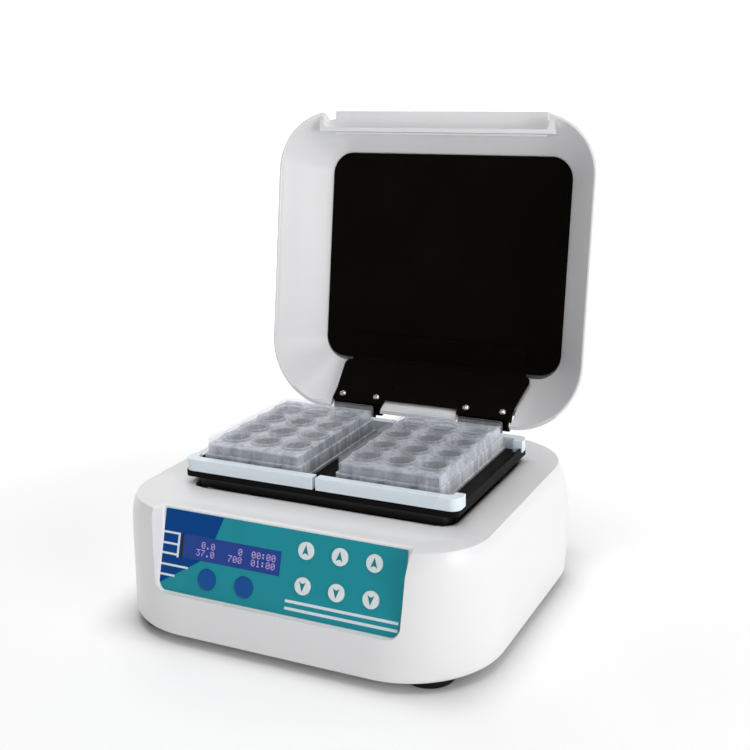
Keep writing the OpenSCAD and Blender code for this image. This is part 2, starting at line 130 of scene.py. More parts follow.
def bake_mods(o):
    dg = bpy.context.evaluated_depsgraph_get()
    me = bpy.data.meshes.new_from_object(o.evaluated_get(dg))
    old = o.data
    o.modifiers.clear()
    o.data = me
    bpy.data.meshes.remove(old)


def boolean(o, cutter, op="DIFFERENCE", keep=False):
    m = o.modifiers.new("b", "BOOLEAN")
    m.object = cutter
    m.operation = op
    m.solver = "EXACT"
    bake_mods(o)
    if not keep:
        bpy.data.objects.remove(cutter)


def bevel(o, width_mm, seg=2, deg=32.0, sharp=40.0):
    m = o.modifiers.new("bev", "BEVEL")
    m.width = width_mm / 1000.0
    m.segments = seg
    m.limit_method = "ANGLE"
    m.angle_limit = math.radians(deg)
    m.harden_normals = False
    bake_mods(o)
    sharpen(o.data, sharp)


def loft(rings, close_first=True, close_last=True):
    """closed rings with the same number of points, joined by quads"""
    n = len(rings[0])
    v = np.concatenate(rings)
    f = []
    for k in range(len(rings) - 1):
        a, b = k * n, (k + 1) * n
        for i in range(n):
            j = (i + 1) % n
            f.append((a + i, a + j, b + j, b + i))
    if close_first:
        f.append(tuple(reversed(range(n))))
    if close_last:
        f.append(tuple(range((len(rings) - 1) * n, len(rings) * n)))
    return v, f


def rr(hx, f, b, rf, rb, z, nc=24, ns=(60, 50, 60, 50)):
    """rounded rectangle with its own corner radii in front and behind, evenly parted"""
    def arc(cx, cy, r, a0):
        t = np.radians(a0 + np.linspace(0, 90, nc + 1))
        return np.stack([cx + r * np.cos(t), cy + r * np.sin(t)], 1)
    arcs = [arc(hx - rf, f + rf, rf, -90), arc(hx - rb, b - rb, rb, 0), arc(-hx + rb, b - rb, rb, 90), arc(-hx + rf, f + rf, rf, 180)]
    out = []
    for k in range(4):
        a = arcs[k]
        nx = arcs[(k + 1) % 4][0]
        out.append(a)
        m = ns[(k + 1) % 4]
        t = np.linspace(0, 1, m + 1)[1:-1, None]
        out.append(a[-1] * (1 - t) + nx * t)
    p = np.concatenate(out)
    return np.concatenate([p, np.full((len(p), 1), float(z))], 1)


def pchip(xs, ys):
    """monotone cubic through the points, as a function"""
    xs, ys = np.asarray(xs, float), np.asarray(ys, float)
    h = np.diff(xs)
    d = np.diff(ys) / h
    m = np.zeros(len(xs))
    for i in range(1, len(xs) - 1):
        if d[i - 1] * d[i] > 0:
            w1, w2 = 2 * h[i] + h[i - 1], h[i] + 2 * h[i - 1]
            m[i] = (w1 + w2) / (w1 / d[i - 1] + w2 / d[i])
    m[0], m[-1] = d[0], d[-1]

    def f(x):
        i = int(min(max(np.searchsorted(xs, x) - 1, 0), len(xs) - 2))
        t = (x - xs[i]) / h[i]
        return ((1 + 2 * t) * (1 - t) ** 2 * ys[i] + t * (1 - t) ** 2 * h[i] * m[i]
                + t * t * (3 - 2 * t) * ys[i + 1] + t * t * (t - 1) * h[i] * m[i + 1])
    return f


def sstep(a, b, x):
    t = np.clip((np.asarray(x, float) - a) / (b - a), 0, 1)
    return t * t * (3 - 2 * t)


def sd_rr(x, y, hx, f, b, rf, rb):
    """signed distance to a rounded rectangle, negative inside"""
    x = np.abs(np.asarray(x, float))
    y = np.asarray(y, float)
    cy = (f + b) / 2
    r = np.where(y < cy, rf, rb)
    qx = x - (hx - r)
    qy = np.abs(y - cy) - ((b - f) / 2 - r)
    return np.hypot(np.maximum(qx, 0), np.maximum(qy, 0)) + np.minimum(np.maximum(qx, qy), 0) - r


def smin(a, b, k):
    d = np.maximum(k - np.abs(a - b), 0) / k
    return np.minimum(a, b) - d * d * k / 4


def boxm(name, x0, x1, y0, y1, z0, z1, tr=None, mat=None):
    v = [(x, y, z) for z in (z0, z1) for y in (y0, y1) for x in (x0, x1)]
    f = [(0, 2, 3, 1), (4, 5, 7, 6), (0, 1, 5, 4), (2, 6, 7, 3), (0, 4, 6, 2), (1, 3, 7, 5)]
    o = mesh(name, v, f, tr=tr, mat=mat, sharp=30)
    recalc(o)
    return o


def prism(name, pts, z0, z1, tr=None, mat=None, sharp=30):
    """polygon in the first two coordinates, extruded along the third"""
    n = len(pts)
    v = [(p[0], p[1], z0) for p in pts] + [(p[0], p[1], z1) for p in pts]
    f = [tuple(reversed(range(n))), tuple(range(n, 2 * n))] + [(i, (i + 1) % n, n + (i + 1) % n, n + i) for i in range(n)]
    o = mesh(name, v, f, tr=tr, mat=mat, sharp=sharp)
    recalc(o)
    return o


def lathe(name, prof, c=(0, 0, 0), n=64, tr=None, mat=None, sharp=32):
    """profile [(r, z)] turned about an axis through c along the third coordinate"""
    v, f = [], []
    rings = []
    for r, z in prof:
        if r < 1e-6:
            rings.append([len(v)])
            v.append((c[0], c[1], c[2] + z))
        else:
            rings.append(list(range(len(v), len(v) + n)))
            for i in range(n):
                a = 2 * math.pi * i / n
                v.append((c[0] + r * math.cos(a), c[1] + r * math.sin(a), c[2] + z))
    for a, b in zip(rings, rings[1:]):
        for i in range(n):
            j = (i + 1) % n
            q = [a[i % len(a)], a[j % len(a)], b[j % len(b)], b[i % len(b)]]
            q = [x for k, x in enumerate(q) if x not in q[:k]]
            if len(q) > 2:
                f.append(tuple(q))
    o = mesh(name, v, f, tr=tr, mat=mat, sharp=sharp)
    recalc(o)
    return o


def join(name, objs):
    """one object from several of the same material list"""
    bm = bmesh.new()
    for o in objs:
        bm.from_mesh(o.data)
    me = bpy.data.meshes.new(name)
    bm.to_mesh(me)
    bm.free()
    for m in objs[0].data.materials:
        me.materials.append(m)
    for o in objs:
        bpy.data.objects.remove(o)
    r = bpy.data.objects.new(name, me)
    bpy.context.scene.collection.objects.link(r)
    return r


# ------------------------------------------------------------------ materials
def material(name, color, rough=0.4, metallic=0.0, bump=0.0, bscale=400.0, var=0.03, vscale=30.0, rvar=0.08, coat=0.0,
             transmission=0.0, ior=1.45, emission=None, estrength=0.0, spec=0.5, stretch=None, coat_rough=0.1, alpha=None):
    m = bpy.data.materials.new(name)
    m.use_nodes = True
    nt = m.node_tree
    bs = nt.nodes["Principled BSDF"]
    bs.inputs["Metallic"].default_value = metallic
    bs.inputs["IOR"].default_value = ior
    bs.inputs["Coat Weight"].default_value = coat
    bs.inputs["Coat Roughness"].default_value = coat_rough
    bs.inputs["Transmission Weight"].default_value = transmission
    bs.inputs["Specular IOR Level"].default_value = spec
    tc = nt.nodes.new("ShaderNodeTexCoord")
    mp = nt.nodes.new("ShaderNodeMapping")
    if stretch:
        mp.inputs["Scale"].default_value = stretch
    nt.links.new(tc.outputs["Object"], mp.inputs["Vector"])
    nz = nt.nodes.new("ShaderNodeTexNoise")
    nz.inputs["Scale"].default_value = vscale
    nz.inputs["Detail"].default_value = 4.0
    nt.links.new(mp.outputs["Vector"], nz.inputs["Vector"])
    cr = nt.nodes.new("ShaderNodeValToRGB")
    c0 = [max(0.0, c * (1 - var)) for c in color[:3]] + [1]
    c1 = [min(1.0, c * (1 + var)) for c in color[:3]] + [1]
    cr.color_ramp.elements[0].color = c0
    cr.color_ramp.elements[1].color = c1
    cr.color_ramp.elements[0].position = 0.3
    cr.color_ramp.elements[1].position = 0.7
    nt.links.new(nz.outputs["Fac"], cr.inputs["Fac"])
    nt.links.new(cr.outputs["Color"], bs.inputs["Base Color"])
    mr = nt.nodes.new("ShaderNodeMapRange")
    mr.inputs["From Min"].default_value = 0.3
    mr.inputs["From Max"].default_value = 0.7
    mr.inputs["To Min"].default_value = max(0.02, rough - rvar / 2)
    mr.inputs["To Max"].default_value = min(1.0, rough + rvar / 2)
    nt.links.new(nz.outputs["Fac"], mr.inputs["Value"])
    nt.links.new(mr.outputs["Result"], bs.inputs["Roughness"])
    if bump > 0:
        n2 = nt.nodes.new("ShaderNodeTexNoise")
        n2.inputs["Scale"].default_value = bscale
        n2.inputs["Detail"].default_value = 3.0
        nt.links.new(mp.outputs["Vector"], n2.inputs["Vector"])
        bp = nt.nodes.new("ShaderNodeBump")
        bp.inputs["Strength"].default_value = bump
        bp.inputs["Distance"].default_value = 0.0004
        nt.links.new(n2.outputs["Fac"], bp.inputs["Height"])
        nt.links.new(bp.outputs["Normal"], bs.inputs["Normal"])
    if emission:
        bs.inputs["Emission Color"].default_value = (*emission, 1)
        bs.inputs["Emission Strength"].default_value = estrength
    m.diffuse_color = (*color[:3], 1)
    return m


M = {}
M["shell"] = material("shell_white", (0.80, 0.80, 0.81), rough=0.34, bump=0.05, bscale=900, var=0.006, vscale=14, rvar=0.05, coat=0.15, coat_rough=0.12)
M["rubber"] = material("rubber_black", (0.004, 0.004, 0.0045), rough=0.6, bump=0.2, bscale=1500, var=0.2, vscale=60, spec=0.2)
M["plate"] = material("plate_black", (0.0040, 0.0034, 0.0020), rough=0.62, bump=0.06, bscale=1600, var=0.15, vscale=25, spec=0.02)
M["bracket"] = material("bracket_black", (0.0038, 0.0032, 0.0020), rough=0.62, bump=0.06, bscale=1500, var=0.15, vscale=40, spec=0.02)
M["tray"] = material("tray_black", (0.0055, 0.0042, 0.0040), rough=0.50, bump=0.06, bscale=1400, var=0.15, vscale=40, spec=0.08)
M["rail"] = material("rail_white", (0.80, 0.885, 0.95), rough=0.30, bump=0.04, bscale=900, var=0.02, vscale=30, coat=0.1)
M["steel"] = material("steel_screw", (0.62, 0.60, 0.56), rough=0.28, metallic=1.0, bump=0.05, bscale=2200, var=0.08, vscale=300)
M["sheet"] = material("sheet_steel", (0.55, 0.56, 0.57), rough=0.42, metallic=1.0, bump=0.12, bscale=500, var=0.08, vscale=60, stretch=(1, 12, 1))
M["alu"] = material("aluminium", (0.70, 0.71, 0.73), rough=0.36, metallic=1.0, bump=0.08, bscale=600, var=0.05, vscale=60, stretch=(12, 1, 1))
M["brass"] = material("brass", (0.60, 0.42, 0.16), rough=0.3, metallic=1.0, bump=0.04, bscale=1200, var=0.06, vscale=80)
M["motor"] = material("motor_black", (0.02, 0.02, 0.022), rough=0.4, bump=0.1, bscale=900)
M["teal"] = material("panel_teal", (0.005, 0.285, 0.345), rough=0.45, bump=0.08, bscale=1800, var=0.03, vscale=25, spec=0.3)
M["navy"] = material("panel_navy", (0.001, 0.058, 0.262), rough=0.45, bump=0.08, bscale=1800, var=0.04, vscale=25, spec=0.10)
M["white"] = material("panel_white", (0.74, 0.82, 0.86), rough=0.42, bump=0.08, bscale=1800, var=0.02, vscale=50)
M["line"] = material("panel_black", (0.006, 0.006, 0.012), rough=0.35, var=0.1)
M["lcd"] = material("display_blue", (0.008, 0.050, 0.30), rough=0.2, var=0.08, vscale=18, coat=0.2, coat_rough=0.05, spec=0.3)
M["digit"] = material("display_digit", (0.50, 0.36, 0.66), rough=0.3, var=0.10, vscale=500, emission=(0.56, 0.42, 0.78), estrength=0.10)
M["key"] = material("key_white", (0.76, 0.84, 0.86), rough=0.34, bump=0.05, bscale=1500, var=0.015)
M["arrow"] = material("key_teal", (0.006, 0.20, 0.24), rough=0.38, bump=0.05, bscale=1500, var=0.05)
M["keyblue"] = material("key_blue", (0.006, 0.085, 0.33), rough=0.40, bump=0.05, bscale=1500, var=0.05, spec=0.2)
M["black"] = material("plastic_black", (0.014, 0.014, 0.015), rough=0.42, bump=0.15, bscale=1300, var=0.12, vscale=70)
M["rocker"] = material("rocker_black", (0.010, 0.010, 0.011), rough=0.28, bump=0.05, bscale=1300, var=0.1, vscale=70)
M["board"] = material("board_green", (0.01, 0.09, 0.04), rough=0.35, bump=0.2, bscale=700, var=0.2, vscale=160)
M["grey"] = material("plastic_grey", (0.55, 0.56, 0.57), rough=0.5, bump=0.1)
M["felt"] = material("insulation", (0.42, 0.38, 0.28), rough=0.9, bump=0.5, bscale=900, var=0.15, vscale=200)
M["heater"] = material("heater_silicone", (0.28, 0.06, 0.025), rough=0.6, bump=0.2, bscale=500, var=0.1)


def clear_material(name, tint, rough=0.03, haze=0.12, ior=1.5):
    """clear polystyrene: transmitting, with faint haze and moulding ripples"""
    m = bpy.data.materials.new(name)
    m.use_nodes = True
    nt = m.node_tree
    bs = nt.nodes["Principled BSDF"]
    bs.inputs["IOR"].default_value = ior
    bs.inputs["Transmission Weight"].default_value = 1.0 - haze
    tc = nt.nodes.new("ShaderNodeTexCoord")
    nz = nt.nodes.new("ShaderNodeTexNoise")
    nz.inputs["Scale"].default_value = 90.0
    nz.inputs["Detail"].default_value = 3.0
    nt.links.new(tc.outputs["Object"], nz.inputs["Vector"])
    cr = nt.nodes.new("ShaderNodeValToRGB")
    cr.color_ramp.elements[0].color = (tint[0] * 0.98, tint[1] * 0.98, tint[2] * 0.99, 1)
    cr.color_ramp.elements[1].color = (*tint, 1)
    nt.links.new(nz.outputs["Fac"], cr.inputs["Fac"])
    nt.links.new(cr.outputs["Color"], bs.inputs["Base Color"])
    mr = nt.nodes.new("ShaderNodeMapRange")
    mr.inputs["To Min"].default_value = rough * 0.5
    mr.inputs["To Max"].default_value = rough * 1.6
    nt.links.new(nz.outputs["Fac"], mr.inputs["Value"])
    nt.links.new(mr.outputs["Result"], bs.inputs["Roughness"])
    n2 = nt.nodes.new("ShaderNodeTexNoise")
    n2.inputs["Scale"].default_value = 110.0
    nt.links.new(tc.outputs["Object"], n2.inputs["Vector"])
    bp = nt.nodes.new("ShaderNodeBump")
    bp.inputs["Strength"].default_value = 0.08
    bp.inputs["Distance"].default_value = 0.0004
    nt.links.new(n2.outputs["Fac"], bp.inputs["Height"])
    nt.links.new(bp.outputs["Normal"], bs.inputs["Normal"])
    return m


def thin_clear(name, tint, face=0.10, edge=0.75, blend=0.35, rough=0.06, through=(0.97, 0.975, 0.99), shade_streak=0.86):
    """thin clear moulding: lets light straight through, denser and glossier where a wall is seen edge on, its colour
    darkened in vertical streaks of painted shade
    """
    m = bpy.data.materials.new(name)
    m.use_nodes = True
    nt = m.node_tree
    bs = nt.nodes["Principled BSDF"]
    out = nt.nodes["Material Output"]
    bs.inputs["IOR"].default_value = 1.5
    bs.inputs["Specular IOR Level"].default_value = 0.9
    bs.inputs["Coat Weight"].default_value = 0.6
    bs.inputs["Coat Roughness"].default_value = 0.03
    tc = nt.nodes.new("ShaderNodeTexCoord")
    nz = nt.nodes.new("ShaderNodeTexNoise")
    nz.inputs["Scale"].default_value = 120.0
    nz.inputs["Detail"].default_value = 4.0
    mp = nt.nodes.new("ShaderNodeMapping")
    mp.inputs["Scale"].default_value = (1.9, 1.9, 0.3)
    nt.links.new(tc.outputs["Object"], mp.inputs["Vector"])
    nt.links.new(mp.outputs["Vector"], nz.inputs["Vector"])
    # painted shade: noise stretched upright darkens the colour in vertical streaks, standing in for the shading of the
    # wells' walls
    cr = nt.nodes.new("ShaderNodeValToRGB")
    cr.color_ramp.elements[0].position = 0.42
    cr.color_ramp.elements[1].position = 0.56
    cr.color_ramp.elements[0].color = (tint[0] * shade_streak, tint[1] * shade_streak, tint[2] * (shade_streak + 0.03), 1)
    cr.color_ramp.elements[1].color = (*tint, 1)
    nt.links.new(nz.outputs["Fac"], cr.inputs["Fac"])
    nt.links.new(cr.outputs["Color"], bs.inputs["Base Color"])
    mr = nt.nodes.new("ShaderNodeMapRange")
    mr.inputs["To Min"].default_value = rough * 0.5
    mr.inputs["To Max"].default_value = rough * 1.6
    nt.links.new(nz.outputs["Fac"], mr.inputs["Value"])
    nt.links.new(mr.outputs["Result"], bs.inputs["Roughness"])
    tr = nt.nodes.new("ShaderNodeBsdfTransparent")
    tr.inputs["Color"].default_value = (*through, 1)
    lw = nt.nodes.new("ShaderNodeLayerWeight")
    lw.inputs["Blend"].default_value = blend
    fr = nt.nodes.new("ShaderNodeMapRange")
    fr.name = "density"
    fr.inputs["To Min"].default_value = face
    fr.inputs["To Max"].default_value = edge
    nt.links.new(lw.outputs["Facing"], fr.inputs["Value"])
    mx = nt.nodes.new("ShaderNodeMixShader")
    nt.links.new(fr.outputs["Result"], mx.inputs["Fac"])
    nt.links.new(tr.outputs["BSDF"], mx.inputs[1])
    nt.links.new(bs.outputs["BSDF"], mx.inputs[2])
    nt.links.new(mx.outputs["Shader"], out.inputs["Surface"])
    return m


M["clear"] = thin_clear("clear_plastic", (0.95, 0.98, 1.0), face=0.13, edge=1.0, blend=0.36, rough=0.05, shade_streak=0.66)
M["clear_lid"] = thin_clear("clear_plastic_lid", (0.96, 0.98, 1.0), face=0.03, edge=0.40, blend=0.12, rough=0.03, shade_streak=0.85)


def paint(node, mat, bev=0.0, seg=2):
    o = nodes[node]
    o.data.materials.clear()
    o.data.materials.append(mat)
    if bev > 0:
        m = o.modifiers.new("bev", "BEVEL")
        m.width = bev / 1000.0
        m.segments = seg
        m.limit_method = "ANGLE"
        m.angle_limit = math.radians(40)
    return o


for n, m, b in (("base_plate", "sheet", 0.0), ("foot_screws", "steel", 0), ("base_screws", "steel", 0.2),
                ("panel_backing", "grey", 0), ("display_module", "black", 0), ("keypad_board", "board", 0), ("panel_standoffs", "steel", 0),
                ("drive_plate", "alu", 0), ("drive_posts", "steel", 0), ("drive_screws", "steel", 0), ("motor", "motor", 0),
                ("shaft_bearing", "steel", 0), ("crank_shaft", "steel", 0), ("counterweight", "brass", 0), ("idler_bushes", "brass", 0),
                ("idler_crank_left", "steel", 0), ("idler_crank_right", "steel", 0), ("idler_crank_rear", "steel", 0),
                ("platform_hub", "alu", 0), ("hub_bearing", "steel", 0), ("carrier_plate", "alu", 0), ("tray_spacers", "steel", 0),
                ("insulation_pad", "black", 0.4), ("heater_mat", "heater", 0), ("temp_sensor", "steel", 0),
                ("platform_tray", "tray", 0.5), ("front_rails", "rail", 0.9), ("rear_rails", "rail", 0.9),
                ("microplate_left", "clear", 0.0), ("microplate_right", "clear", 0.0),
                ("microplate_left_lid", "clear_lid", 0.3), ("microplate_right_lid", "clear_lid", 0.3),
                ("main_board", "board", 0), ("board_standoffs", "steel", 0), ("power_supply", "alu", 0),
                ("mains_inlet", "black", 0.4), ("fuse_drawer", "black", 0.25), ("switch_frame", "black", 0.3), ("rocker", "rocker", 0.35),
                ("lid_heater_mat", "heater", 0), ("lid_insulation", "felt", 0), ("lid_bracket", "bracket", 0.3),
                ("hinge_leaves", "bracket", 0.25), ("hinge_pins", "steel", 0.2), ("hinge_posts", "bracket", 0.5),
                ("panel_overlay", "teal", 0), ("display_window", "lcd", 0), ("lid_plate", "plate", 0.25)):
    paint(n, M[m], b)


# ------------------------------------------------------------------ housing
Z = [11.5, 25, 60, 78, 89, 95.5, 99.5]
F_HX = pchip(Z, [145.3, 146.0, 146.5, 144.3, 141.3, 137.6, 134.6])
F_F = pchip(Z, [-142, -140.5, -137, -134.2, -131, -127.5, -124.8])
F_B = pchip(Z, [114.5, 116, 116, 116, 115.6, 114, 112.0])
F_RF = pchip(Z, [69, 69, 67, 60, 53, 47, 44])
F_RB = pchip(Z, [60, 61, 60, 59, 58, 56, 54])


def body_ring(z, i=0.0, sub=0.0):
    if z < 11.5:
        t = math.acos(max(-1, min(1, 1 - (z - 6.5) / 5.0))) if z > 6.5 else 0.0
        s = 1 - math.sin(t)
        q = [F_HX(11.5) - 3.8 * s, F_F(11.5) + 2.5 * s, F_B(11.5) - 4.0 * s, F_RF(11.5) - 3 * s, F_RB(11.5) - 2 * s]
    else:
        q = [g(z) for g in (F_HX, F_F, F_B, F_RF, F_RB)]
    return rr(q[0] - i, q[1] + i, q[2] - i, q[3] - i, q[4] - i, z - sub)


def crest_sd(x, y):
    return sd_rr(x, y, 137.6, -127.5, 114, 47, 56)


def deck_z(x, y):
    d = -crest_sd(x, y)
    z = 95.5 - 1.75 * sstep(0, 26, d)
    z = np.where(d < 0, 95.5 - 0.02 * d, z)
    d2 = sd_rr(x, y, 106, -74, 74, 12, 12)
    return z - 1.6 * (1 - sstep(-0.5, 3.2, d2)) ** 2


PHI = math.radians(62)
CP, SP = math.cos(PHI), math.sin(PHI)


def recess_surface(X, S, wfloor=-0.25, off=0.0, k=4.0):
    """height along the slanted direction of the deck and the recess of the panel"""
    ct, st = math.cos(TILT), math.sin(TILT)
    # deck
    h = (94.0 - 93.5 + S * SP) / CP
    for _ in range(12):
        y = -118 - S * CP - h * SP
        h = 0.5 * h + 0.5 * (deck_z(X, y) - off - 93.5 + S * SP) / CP
    hd = h
    # panel plane
    o_n = -(-118 - PY) * ct + (93.5 - PZ) * st
    o_e = (-118 - PY) * st + (93.5 - PZ) * ct
    hp = (wfloor - off - o_n - S * math.cos(PHI + TILT)) / math.sin(PHI + TILT)
    v = -(o_e - S * math.sin(PHI + TILT) + hp * math.cos(PHI + TILT))
    start = 95.15 + 2.2 * (1 - sstep(0, 20, v)) + off
    R = 8.0
    qx = np.abs(X) - (start - R)
    qy = v - (59.3 + off - R)
    d = np.hypot(np.maximum(qx, 0), np.maximum(qy, 0)) + np.minimum(np.maximum(qx, qy), 0) - R
    rise = 3.1 * 0.35 * np.log1p(np.exp(np.clip(d / 0.35, -40, 40)))
    return smin(hd, hp + rise, k)


def recess_cutter(name, off=0.0, wfloor=-0.25, wide=160.0):
    xs = np.concatenate([np.arange(0, 90, 3.0), np.arange(90, 94, 1.0), np.arange(94, 104, 0.4), np.arange(104, 112, 1.0), np.arange(112, wide + 0.1, 3.0)])
    xs = np.concatenate([-xs[:0:-1], xs])
    ss = np.concatenate([np.arange(-118, -12, 1.0), np.arange(-12, -4, 0.8), np.arange(-4, 8, 0.4), np.arange(8, 54, 1.6), np.arange(54, 66, 0.35), np.arange(66, 80, 1.5)])
    X, S = np.meshgrid(xs, ss)
    H = recess_surface(X, S, wfloor=wfloor, off=off)
    P = np.stack([X, -118 - S * CP - H * SP, 93.5 - S * SP + H * CP], -1).reshape(-1, 3)
    ny, nx = X.shape
    top = np.stack([X, -118 - S * CP - 260 * SP + 0 * X, 93.5 - S * SP + 260 * CP + 0 * X], -1).reshape(-1, 3)
    f = []
    for j in range(ny - 1):
        for i in range(nx - 1):
            a = j * nx + i
            f.append((a, a + 1, a + nx + 1, a + nx))
    n0 = len(P)
    edge = [i for i in range(nx)] + [j * nx + nx - 1 for j in range(1, ny)] + [(ny - 1) * nx + i for i in range(nx - 2, -1, -1)] + [j * nx for j in range(ny - 2, 0, -1)]
    tv = top[edge]
    m = len(edge)
    for q in range(m):
        r = (q + 1) % m
        f.append((edge[q], n0 + q, n0 + r, edge[r]))
    f.append(tuple(n0 + q for q in range(m)))
    o = mesh(name, np.concatenate([P, tv]), f, sharp=0)
    recalc(o)
    return o


def make_housing():
    zs = [6.5 + 5 * (1 - math.cos(math.radians(a))) for a in (0, 8, 20, 34, 48, 62, 76, 90)]
    zs += list(np.arange(14.0, 88, 2.6)) + list(np.arange(88, 99.6, 1.1))
    v, f = loft([body_ring(z) for z in zs])
    o = mesh("housing_shell", v, f, sharp=0)
    recalc(o)
    boolean(o, recess_cutter("cut_recess"))
    # the hollow inside
    vo = [rr(min(F_HX(max(z, 11.5)) - 3, 141), -104, F_B(max(z, 11.5)) - 3.2, 40, 56, z, 12, (20, 20, 20, 20)) for z in (8.0, 20, 40, 60, 78, 84, 90.3)]
    v, f = loft(vo)
    c = mesh("cut_hollow", v, f, sharp=0)
    recalc(c)
    boolean(o, c)
    # seat of the bottom plate
    v, f = loft([rr(139.8, -138, 109, 64, 57, z, 12, (8, 8, 8, 8)) for z in (4.0, 8.6)])
    c = mesh("cut_seat", v, f, sharp=0)
    recalc(c)
    boolean(o, c)
    # opening for the platform
    v, f = loft([rr(106, -74, 74, 12, 12, z, 12, (20, 20, 20, 20)) for z in (84.0, 110.0)])
    c = mesh("cut_opening", v, f, sharp=0)
    recalc(c)
    boolean(o, c)
    # pocket behind the panel, inlet and switch
    boolean(o, boxm("cut_pocket", -88, 88, 4, 54, -15, 6, tr=panel_local))
    boolean(o, boxm("cut_inlet", -93, -63, 105, 125, 24, 68))
    boolean(o, boxm("cut_switch", -41.2, -28.8, 105, 125, 36.6, 55.4))
    sharpen(o.data, 24)
    o.data.materials.clear()
    o.data.materials.append(M["shell"])
    wn = o.modifiers.new("wn", "WEIGHTED_NORMAL")
    wn.keep_sharp = True
    wn.weight = 60
    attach(o, "base")
    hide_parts("housing")
    return o


make_housing()


# ------------------------------------------------------------------ lid shell
def lid_ring(hx, v0, v1, rrear, rfront, h, nc=24):
    """v0 rear, v1 front; ring in lid coordinates (x, v, h)"""
    p = rr(hx, -v1, -v0, rfront, rrear, 0, nc, (60, 50, 60, 50))
    return np.stack([p[:, 0], -p[:, 1], np.full(len(p), float(h))], 1)


def make_lid():
    H_o = [1.6, 6, 20, 34, 46, 51, 54.5, 56.4, 57.0]
    hx = pchip(H_o, [141.5, 140.6, 132.2, 122.0, 112.6, 109.0, 105.8, 102.5, 99.0])
    vf = pchip(H_o, [254.0, 253.2, 244.8, 235.2, 225.6, 221.8, 218.4, 215.0, 211.5])
    vr = pchip(H_o, [0.0, 0.9, 11.0, 23.0, 34.6, 38.6, 42.2, 45.8, 49.5])
    rf = pchip(H_o, [50, 50, 42, 33, 24, 21, 18, 15, 12])
    rb = pchip(H_o, [58, 57.5, 47, 37, 27, 24, 21, 17, 14])
    outer = []
    for h in [57.0, 56.8, 56.4, 55.6, 54.5, 53, 51, 48.5, 46, 43, 40, 36, 32, 28, 24, 20, 16, 12, 9, 6, 4, 2.6, 1.6]:
        outer.append(lid_ring(hx(h), vr(h), vf(h), rb(h), rf(h), h))
    rim = []
    for a in (30, 60, 90, 120, 150):
        t = math.radians(a)
        dx = 1.6 - 1.6 * math.cos(t)
        hh = 1.6 - 1.6 * math.sin(t)
        rim.append(lid_ring(141.5 - dx, dx, 254 - dx, 58 - dx, 50 - dx, hh))
    H_i = [1.6, 20, 36, 41.5, 43.2, 45.6, 53.6]
    ihx = pchip(H_i, [138.3, 126.2, 114.8, 110.9, 109.9, 109.7, 103.0])
    ivf = pchip(H_i, [250.8, 239.0, 227.6, 223.4, 222.4, 222.2, 216.5])
    ivr = pchip(H_i, [3.0, 17.2, 31.4, 36.4, 37.8, 38.0, 44.5])
    irf = pchip(H_i, [47, 35.5, 24, 20.2, 19.2, 19, 16])
    irb = pchip(H_i, [55, 40.5, 26.5, 22.2, 21.2, 21, 16])
    inner = []
    for h in [1.6, 3, 5, 8, 12, 16, 20, 24, 28, 32, 36, 39, 41.5, 43.2, 45.6, 49, 53.6]:
        inner.append(lid_ring(ihx(h), ivr(h), ivf(h), irb(h), irf(h), h))
    v, f = loft(outer + rim + inner)
    o = mesh("lid_shell_skin", v, f, tr=lid_local, sharp=0)
    recalc(o)
    # the set-back front edge with its ledge: a plug cut from the outer form
    v, f = loft(outer + rim[:3] + [lid_ring(139.9, 1.6, 252.4, 56.4, 48.4, 0.0)])
    plug = mesh("lid_plug", v, f, tr=lid_local, sharp=0)
    recalc(plug)
    boolean(plug, boxm("cut_plug", -103.4, 103.4, 237.3, 262, 1.4, 17.4, tr=lid_local), "INTERSECT")
    boolean(o, plug, "UNION")
    # notch with rounded corners
    pts = []
    for cx, cv, a0 in ((95.5, 245.0, 270), (-95.5, 245.0, 180)):
        pts += [(cx + 4.5 * math.cos(math.radians(a0 + t)), cv + 4.5 * math.sin(math.radians(a0 + t))) for t in (range(0, 91, 10) if a0 == 270 else range(90, -1, -10))]
    pts = [(100.0, 268.0)] + [(95.5 + 4.5 * math.cos(math.radians(t)), 245.0 - 4.5 * math.sin(math.radians(t))) for t in range(0, 91, 10)] \
        + [(-95.5 - 4.5 * math.sin(math.radians(t)), 245.0 - 4.5 * math.cos(math.radians(t))) for t in range(0, 91, 10)] + [(-100.0, 268.0)]
    boolean(o, prism("cut_notch", pts, -3, 14, tr=lid_local))
    # finger ledge
    led = [(239.0, 14.0), (254.6, 14.0), (255.3, 14.3), (255.6, 15.0), (255.6, 18.4), (255.2, 19.2), (254.4, 19.5), (241.0, 19.5), (236.0, 19.0), (236.0, 14.0)]
    n = len(led)
    vv = [(-95.0, a, b) for a, b in led] + [(95.0, a, b) for a, b in led]
    ff = [tuple(reversed(range(n))), tuple(range(n, 2 * n))] + [(i, (i + 1) % n, n + (i + 1) % n, n + i) for i in range(n)]
    ledge = mesh("lid_ledge_bar", vv, ff, tr=lid_local, sharp=0)
    recalc(ledge)
    boolean(o, ledge, "UNION")
    # rear rim, raised so that it swings over the crest, and clearances for the hinges
    boolean(o, boxm("cut_rear", -150, 150, -6, 15, -3, 1.1, tr=lid_local))
    for s in (-1, 1):
        x0, x1 = (33.8, 83.2) if s > 0 else (-83.2, -33.8)
        boolean(o, boxm("cut_hinge", x0, x1, -12, 27, -3, 17.5, tr=lid_local))
    sharpen(o.data, 26)
    o.data.materials.clear()
    o.data.materials.append(M["shell"])
    wn = o.modifiers.new("wn", "WEIGHTED_NORMAL")
    wn.keep_sharp = True
    wn.weight = 60
    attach(o, "lid")
    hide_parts("lid_shell")
    return o


make_lid()

# ------------------------------------------------------------------ microplates and their lids
PLATE_X = {"left": -57.5, "right": 53.4}
WELLS = [(26.0 * (i - 1), 26.0 * (j - 1.5)) for i in range(3) for j in range(4)]


def plate_ring(cx, hx, hy, r, z, nc=6):
    p = rr(hx, -hy, hy, r, r, 104.0 + z, nc, (10, 8, 10, 8))
    p[:, 0] += cx
    return p


